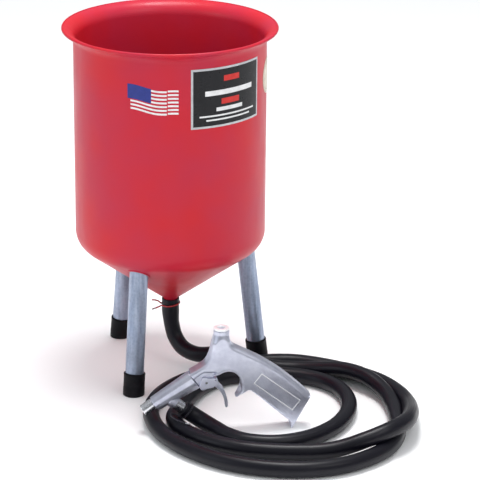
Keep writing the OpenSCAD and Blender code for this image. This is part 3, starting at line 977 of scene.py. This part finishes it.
def makeGunBody(material):
    half = gun["half"]
    neck = flat([(12.6, 26.5), (0, 25.2), (-12, 24.7), (-20, 26.4), (-31, 33.2), (-39.6, 41), (-47, 48.2),
                 (-53.2, 54.1)], 3)
    back = flat([(-72, 41), (-68.6, 34), (-66.6, 27), (-68, 20), (-74, 8.5), (-80.4, -4.5), (-88.3, -20.5),
                 (-95.2, -37.8), (-101.5, -56), (-106.8, -76.2), (-111.4, -96), (-115.4, -116.7)], 2)
    butt = [(-115.6, -118.2), (-62.4, -144.2), (-60.8, -143.2), (-63.4, -138.8), (-65.4, -136.5)]
    front = flat([(-64.6, -128), (-61, -112), (-56.7, -94.6), (-52, -73), (-46.9, -54)], 2)
    spur = arc((-41.2, -56), 6, 150, 80, 4)
    spur += [(-33, -50.3), (-22.2, -51.4), (-20.9, -50.4), (-21.3, -49.4), (-30, -46.8), (-37, -42.6)]
    spur += [(-41.2, -36.8)]
    arch = arc((-25.6, -21.5), 19.9, 205, 90, 14)
    hub = [(-20, -0.7), (-15, 0.2), (-8, -2.5)] + arc((0, 0), 5.3, 210, 330, 8) + [(8, -2.5), (12.6, -3.6)]
    below = butt + front + spur + arch + hub
    neckRound, backRound = gun["neckRound"], gun["backRound"]
    parts = [plated("core", neck + back + below, half - backRound)]
    frontRound = gun["frontRound"]
    nearFront = butt + inset(front, frontRound) + spur + arch + hub
    parts.append(plated("shell", inset(neck, neckRound) + inset(back, backRound) + nearFront, half))
    parts += roundedRail(front, frontRound, half - frontRound)
    parts += roundedRail(neck, neckRound, half - neckRound)
    parts += roundedRail(back, backRound, half - backRound)
    parts.append(plated("neckCore", neck + inset(back, backRound) + below, half - neckRound))
    parts.append(drum("neck", 12.2, 12, 53.3, valvePlace))
    piece = remeshed(joined("gunBody", parts), gun["voxel"])
    step = [(12.3, 54), (12.3, 46.5), (16.8, 34.5), (23, 34.5), (23, 54), (12.3, 54)]
    merged(piece, settle(turned("neckStep", step, 64, hollow=True), valvePlace), "DIFFERENCE")
    channel = [(-50, -60), (-82, -48), (-90, -62), (-98.5, -92), (-106.5, -116), (-66.5, -137), (-52, -128)]
    merged(piece, plated("channel", channel, half - gun["gripWall"]), "DIFFERENCE")
    slot = [(9, -12), (9, 9), (-4, 11), (-28, 18.4), (-36.5, 18.4), (-40.7, 15.6), (-43, 13.8), (-43, 4)]
    slot += [(-40, 2.8), (-15, 2.2), (-15, -12)]
    merged(piece, plated("leverSlot", slot, gun["slotHalf"]), "DIFFERENCE")
    merged(piece, drum("stemWell", 4.7, -5, 8, valvePlace), "DIFFERENCE")
    recess = [(21, -16), (21, 13), (9, 17), (-6, 17), (-21.5, 5), (-21.5, -16)]
    for side in (-1, 1):
        merged(piece, plated("cheekRecess", recess, 10, side * (gun["lugHalf"] + 10)), "DIFFERENCE")
    for side in (-1, 1):
        away = [(-38, side * (half + 1)), (-38, side * half), (-18, side * 3.6), (-18, side * (half + 1))]
        turnedUp = shifted(0, 0, -49) @ spun(-90, "X")
        merged(piece, settle(plated("guardTaper", away, 13), turnedUp), "DIFFERENCE")
    rim = [(-15.5, 2.6)] + arc((-25.6, -21.5), 21.6, 92, 205, 14)
    rim += [(-42.6, -37.4), (-38, -43.8), (-30.5, -48), (-23, -50.3)]
    rims = []
    for side in (-1, 1):
        line = []
        for x, z in rim:
            narrowed = max(0, x + 38) * 0.52 if z < -40 else 0
            line.append(Vector((x, side * (half - 1.1 - narrowed), z)) * mm)
        rims.append(sweptTube("archRim", smoothLine(line, 3), gun["rimRound"] * mm, 12))
    castOver(joined("gunBody", [piece] + rims), gun["voxel"], 3)
    merged(piece, drum("pinHole", 2.0, -20, 20, acrossGun(0, 0), 24), "DIFFERENCE")
    settle(piece, gunPlace)
    smooth(piece, 60)
    return finish(piece, material, "blaster", "cast_aluminium", "gun_body")


gripFrame = {"wide": 20.6, "long": 77.5, "line": 1.4, "tall": 1.0, "sunk": 0.45,
             "at": (-77.8, -79.5), "lean": 16.9}


def makeGripFrame(material):
    # the thin raised outline on each side of the grip
    g = gripFrame
    sides = []
    for side in (-1, 1):
        deselectAll()
        bpy.ops.mesh.primitive_plane_add(size=1)
        piece = bpy.context.object
        for vertex in piece.data.vertices:
            vertex.co = (vertex.co.x * g["wide"] * mm, vertex.co.y * g["long"] * mm, 0)
        startEdit()
        bpy.ops.mesh.inset(thickness=g["line"] * mm)
        bpy.ops.mesh.delete(type="ONLY_FACE")
        bpy.ops.mesh.select_all(action="SELECT")
        bpy.ops.mesh.extrude_region_move(TRANSFORM_OT_translate={"value": (0, 0, g["tall"] * mm)})
        endEdit()
        eased(piece, 0.4, 3)
        x, z = g["at"]
        lay = shifted(x, side * (gun["half"] - g["sunk"]), z) @ spun(g["lean"], "Y") @ spun(-90 * side, "X")
        sides.append(settle(piece, gunPlace @ lay))
    piece = joined("gunGripFrame", sides)
    smooth(piece, 40)
    return finish(piece, material, "blaster", "cast_aluminium")


def makeBarrel(material):
    # a tapering bar with flats, a boss where the media spigot enters, and the split seam at its back
    section = [(-6, -3.6), (-11.5, 4), (-13, 11), (-12.5, 19), (-10, 24), (-5, 26.5),
               (5, 26.5), (10, 24), (12.5, 19), (13, 11), (11.5, 4), (6, -3.6)]
    back = gun["jointAt"] + gun["seam"]
    piece = flatBlank("gunBarrel", [(back, y, z) for y, z in section])
    long = gun["muzzleAt"] - back
    bpy.ops.mesh.extrude_region_move(TRANSFORM_OT_translate={"value": (long * mm, 0, 0)})
    ridge = (gun["muzzleAt"] * mm, 0, 26.5 * mm)
    bpy.ops.transform.resize(value=(1, *gun["muzzleShare"]), center_override=ridge)
    endEdit()
    merged(piece, drum("spigotBoss", 10.6, -12, -1.5, spigotPlace), "UNION")
    castOver(piece, 0.5, 2)
    merged(piece, drum("spigotSeat", 9.3, -7, 10, spigotPlace), "DIFFERENCE")
    merged(piece, drum("muzzleBore", 7.0, -8, 4, alongBarrel(gun["muzzleAt"])), "DIFFERENCE")
    settle(piece, gunPlace)
    smooth(piece, 50)
    return finish(piece, material, "blaster", "cast_aluminium", "gun_barrel")


def makeNozzle(material):
    r, reach = gun["nozzleRadius"], gun["nozzleReach"]
    profile = [(5.5, -9), (6.8, -9), (7, -8.6), (7, 0.1), (r - 0.9, 0.1), (r - 0.9, 1.0), (r, 1.6), (r, 8)]
    profile += [(r, reach - 2.2)] + arc((r - 1.2, reach - 1.6), 1.2, 0, 80, 4)
    profile += [(6.9, reach - 0.2), (6.1, reach - 0.5), (5.5, reach - 1.2), (5.5, -9)]
    piece = settle(turned("nozzle", profile, 64, hollow=True), gunPlace @ alongBarrel(gun["muzzleAt"]))
    smooth(piece, 35)
    return finish(piece, material, "blaster", "nozzle_steel", "nozzle")


def makeSpigot(material):
    # collar, then the barbed tail inside the hose
    profile = [(5, -13), (5.7, -13), (6, -12.6), (6, -7), (9.0, -7), (9.25, -6.7), (9.25, 13.4)]
    profile += [(9.1, 14.1), (8.6, 14.5), (8, 14.6), (8, 20), (8.7, 20), (8, 24), (8, 27), (8.7, 27), (8, 31),
                (8, 34), (8.7, 34), (7.7, 38), (5, 38), (5, -13)]
    piece = settle(turned("mediaSpigot", profile, 64, hollow=True), gunPlace @ spigotPlace)
    smooth(piece, 35)
    return finish(piece, material, "blaster", "nozzle_steel", "media_spigot")


def makeInlet(material):
    # the bright ring on the neck, with its threaded mouth
    profile = [(3.5, 41), (8, 41), (8, 53.5), (11.8, 53.5), (12.25, 54), (12.25, 56.2)]
    profile += arc((11.5, 56.25), 0.75, 0, 90, 4) + [(7.0, 57), (5.8, 56)]
    height = 55.3
    while height > 44.2:  # the thread's ridges
        profile += [(5.6, height), (6.15, height - 0.45)]
        height -= 0.94
    profile += [(5.6, 43.2), (3.5, 42.8), (3.5, 41)]
    piece = settle(turned("airInlet", profile, 64, hollow=True), gunPlace @ valvePlace)
    smooth(piece, 35)
    return finish(piece, material, "blaster", "inlet_plate", "air_inlet")


def makeTrigger(material):
    # two cheeks on the lug, the web that joins them, the lever arm to the valve and the curved blade
    lug = gun["lugHalf"]
    web = lug + 3.8
    cheek = [(13.7, -4.7), (12.6, 1.5), (7.5, 5.8), (0.8, 10.6), (-2.5, 9.5), (-7.3, 3.7), (-17.2, -4),
             (-16.5, -7), (-13.7, -10.6), (-4.5, -12.9), (3.8, -9), (11.3, -7.4)]
    arm = [(7, -9), (7, 3), (3, 6.5), (-4, 6.6), (-31, 9.1), (-34.3, 9.4), (-36.4, 8.6), (-37.2, 6.5)]
    arm += [(-36.4, 4.5), (-34.3, 3.6), (-13.8, 3.3), (-11.5, -1), (-12, -10)]
    piece = plated("trigger", arm, 2.5)
    across = [(10.5, -7.8), (7.5, -6.3), (-13, -6.3), (-15.5, -7.6), (-13.7, -10.2), (-4.5, -11),
              (3.8, -8.8)]
    bar = plated("web", across, web)
    merged(bar, drum("lugClearance", 5.9, -11.4, 11.4, acrossGun(0, 0)), "DIFFERENCE")
    merged(piece, bar, "UNION")
    leading = flat([(-5, -14), (-7.4, -26), (-6.7, -35), (-4, -44.8), (-0.5, -51.5), (1, -54.5)], 4)
    trailing = flat([(-1.7, -56), (-3.5, -55), (-7.8, -47.8), (-12, -36.7), (-13.8, -26.3), (-13, -18),
                     (-15, -9)], 4)
    blade = [(-3, -9)] + leading + [(0.4, -55.9)] + trailing
    merged(piece, plated("blade", blade, 6.6), "UNION")
    for side in (-1, 1):
        plate = plated("cheek", cheek, 1.75, side * (web - 1.75))
        merged(piece, plate, "UNION")
    castOver(piece, 0.5, 3)
    for x, z, radius in ((0, 0, 2.06), (-13.4, -4.8, 1.1)):
        merged(piece, drum("hole", radius, -20, 20, acrossGun(x, z), 24), "DIFFERENCE")
    settle(piece, gunPlace)
    smooth(piece, 50)
    return finish(piece, material, "trigger", "cast_aluminium", "trigger")


def makeTriggerPin(material):
    # a hollow roll pin
    end = gun["lugHalf"] + 3.7
    profile = [(1.2, -end), (1.75, -end), (2.0, -end + 0.4), (2.0, end - 0.4), (1.75, end), (1.2, end)]
    profile += [(1.2, -end)]
    piece = settle(turned("triggerPin", profile, 24, hollow=True), gunPlace @ acrossGun(0, 0))
    smooth(piece, 35)
    return finish(piece, material, "blaster", "spring_steel", "trigger_pin")


spring = {
    "low": 30.6,
    "high": 40.4,
    "seat": 41,  # the fixed end that it is squashed against
    "wire": 0.55,
    "coil": 4.2,
    "turns": 5.5,
    "closed": 0.12,  # share of the wire lying flat at each end
    "steps": 180,
}


def makeValveSpring(material):
    # wound wire between the valve's head and the inlet, closed at both ends
    low, coil, closed = spring["low"], spring["coil"], spring["closed"]
    line = []
    for i in range(spring["steps"] + 1):
        share = i / spring["steps"]
        lift = min(max((share - closed) / (1 - 2 * closed), 0), 1)
        a = 2 * math.pi * spring["turns"] * share
        height = low + (spring["high"] - low) * lift
        line.append(Vector((coil * math.cos(a), coil * math.sin(a), height)) * mm)
    piece = sweptTube("valveSpring", line, spring["wire"] * mm, 8)
    settle(piece, gunPlace @ valvePlace)
    smooth(piece, 60)
    finish(piece, material, "blaster", "spring_steel", "valve_spring")
    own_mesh(piece)
    return piece


def repaint(node, material):
    shown = nodes[node]
    shown.data.materials.clear()
    shown.data.materials.append(material)


makeViewer()
makeStudio()
hosePiece, hoseLine = makeHose()
bareWire = springSteel()
paint = clampPaint()
spoutClampPiece = makeSpoutClamp(paint, bareWire)
gunClampPiece = makeGunClamp(darkWire(), bareWire)
print("hose and clamps made")

makeHopper(hopperPlastic())
zinc, rubber = zincTube(), mouldedRubber()
for k in range(3):
    makeLeg(k, zinc)
    makeFoot(k, rubber)
print("hopper, legs and feet made")

printWhite = printed("printWhite", (0.80, 0.80, 0.80))
printRed = printed("printRed", (0.62, 0.035, 0.03))
plateBlack = printed("plateBlack", (0.012, 0.012, 0.014), 0.3)
plateSilver = printed("plateSilver", (0.55, 0.56, 0.58), 0.3, 0.9)
makeNameplate(plateBlack, plateSilver, printRed, printWhite)
makeDecal(printed("printBlue", (0.03, 0.045, 0.24)), printWhite)
makeRoundLabel(printed("labelCream", (0.76, 0.68, 0.55)), printed("labelInk", (0.30, 0.27, 0.22)))
print("labels made")

cast = castAluminium()
steel = turnedSteel()
makeGunBody(cast)
bright = brightPlate()
makeGripFrame(bright)
makeBarrel(cast)
makeNozzle(steel)
makeSpigot(steel)
makeInlet(bright)
makeTrigger(cast)
makeTriggerPin(bareWire)
makeValveSpring(bareWire)
brass = brassStock()
for node in ("air_jet", "valve_guide", "valve_stem"):
    repaint(node, brass)
repaint("valve_seat", seatPlastic())
repaint("stem_seal", rubber)
repaint("nozzle_liner", darkCarbide())
print("gun made")
